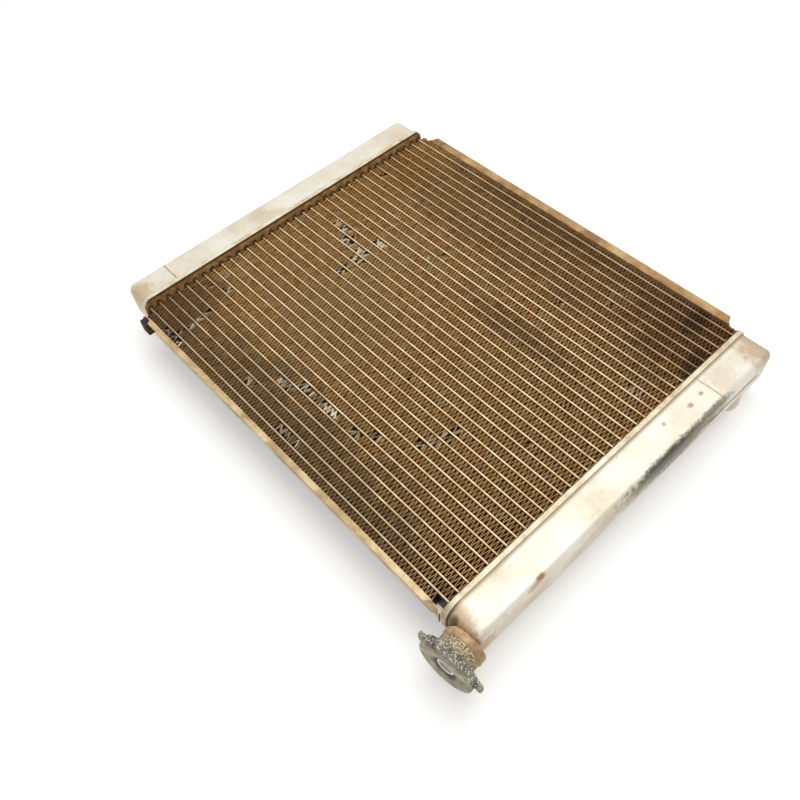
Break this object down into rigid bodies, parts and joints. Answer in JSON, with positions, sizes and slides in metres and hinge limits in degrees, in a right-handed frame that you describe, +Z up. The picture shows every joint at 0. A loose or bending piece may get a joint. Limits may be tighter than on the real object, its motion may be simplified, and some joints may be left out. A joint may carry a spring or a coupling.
{
  "type": "engine radiator",
  "caption": "Used all-aluminium crossflow engine radiator with brazed side tanks, beaded hose stubs at the rear and a side filler neck under a pressure cap.",
  "frame": {"origin": "centre of the outline, on the plane through the tips of the hose stubs that the radiator lies on", "axes": "+X along the tubes towards the tank with the filler neck, +Y from the filler's side to the far side plate, +Z up, out of the front face of the core"},
  "size_m": [0.4712, 0.3826, 0.058],
  "materials": {
    "tank_aluminium": "brazed sheet aluminium, matt, cream-silver with faint brown stains",
    "header_aluminium": "brazed sheet aluminium, stained golden brown by flux and dirt",
    "plate_aluminium": "folded sheet aluminium, stained golden brown",
    "tube_aluminium": "drawn flat tube, dull, edges pale gold",
    "fin_aluminium": "thin folded sheet, brown with road dirt",
    "neck_aluminium": "turned aluminium, pitted by corrosion",
    "cap_steel": "plated sheet steel, dull, corroded at its skirt",
    "spring_steel": "spring steel, satin",
    "valve_brass": "pressed brass, satin",
    "seal_rubber": "moulded rubber, matt",
    "pad_rubber": "moulded rubber, dusty and matt"
  },
  "bodies": {
    "radiator": {"tube_01": "tube_aluminium", "tube_02": "tube_aluminium", "tube_03": "tube_aluminium", "tube_04": "tube_aluminium", "tube_05": "tube_aluminium", "tube_06": "tube_aluminium", "tube_07": "tube_aluminium", "tube_08": "tube_aluminium", "tube_09": "tube_aluminium", "tube_10": "tube_aluminium", "tube_11": "tube_aluminium", "tube_12": "tube_aluminium", "tube_13": "tube_aluminium", "tube_14": "tube_aluminium", "tube_15": "tube_aluminium", "tube_16": "tube_aluminium", "tube_17": "tube_aluminium", "tube_18": "tube_aluminium", "tube_19": "tube_aluminium", "tube_20": "tube_aluminium", "tube_21": "tube_aluminium", "tube_22": "tube_aluminium", "tube_23": "tube_aluminium", "tube_24": "tube_aluminium", "tube_25": "tube_aluminium", "tube_26": "tube_aluminium", "tube_27": "tube_aluminium", "tube_28": "tube_aluminium", "tube_29": "tube_aluminium", "tube_30": "tube_aluminium", "tube_31": "tube_aluminium", "tube_32": "tube_aluminium", "tube_33": "tube_aluminium", "tube_34": "tube_aluminium", "tube_35": "tube_aluminium", "fin_rows_1": "fin_aluminium", "fin_rows_2": "fin_aluminium", "fin_rows_3": "fin_aluminium", "fin_rows_4": "fin_aluminium", "left_header": "header_aluminium", "right_header": "header_aluminium", "left_tank": "tank_aluminium", "right_tank": "tank_aluminium", "inlet_stub": "tank_aluminium", "outlet_stub": "tank_aluminium", "near_side_plate": "plate_aluminium", "far_side_plate": "plate_aluminium", "rubber_pad": "pad_rubber", "filler_neck": "neck_aluminium", "overflow_nipple": "neck_aluminium"},
    "cap": {"cap_shell": "cap_steel", "cap_gasket": "seal_rubber", "cap_spring_disc": "spring_steel", "cap_bell": "valve_brass", "cap_pressure_spring": "spring_steel", "cap_rivet": "cap_steel"},
    "pressure_valve": {"cap_valve_plate": "valve_brass", "cap_valve_seal": "seal_rubber"},
    "vacuum_valve": {"cap_vacuum_valve": "valve_brass"}
  },
  "joints": [
    {"name": "cap_turn", "type": "hinge", "parent": "radiator", "child": "cap", "pos_m": [0.20592, -0.16821, 0.03438], "axis": [0.0872, -0.9956, 0.0348], "range_deg": [0, 90]},
    {"name": "pressure_valve_lift", "type": "slide", "parent": "cap", "child": "pressure_valve", "axis": [0.0872, -0.9956, 0.0348], "range_m": [0, 0.003], "stiffness_N_per_m": 2000, "springref_m": -0.002, "deforming": ["cap_pressure_spring"]},
    {"name": "vacuum_valve_drop", "type": "slide", "parent": "pressure_valve", "child": "vacuum_valve", "axis": [-0.0872, 0.9956, -0.0348], "range_m": [0, 0.0015], "stiffness_N_per_m": 150, "springref_m": -0.001}
  ]
}
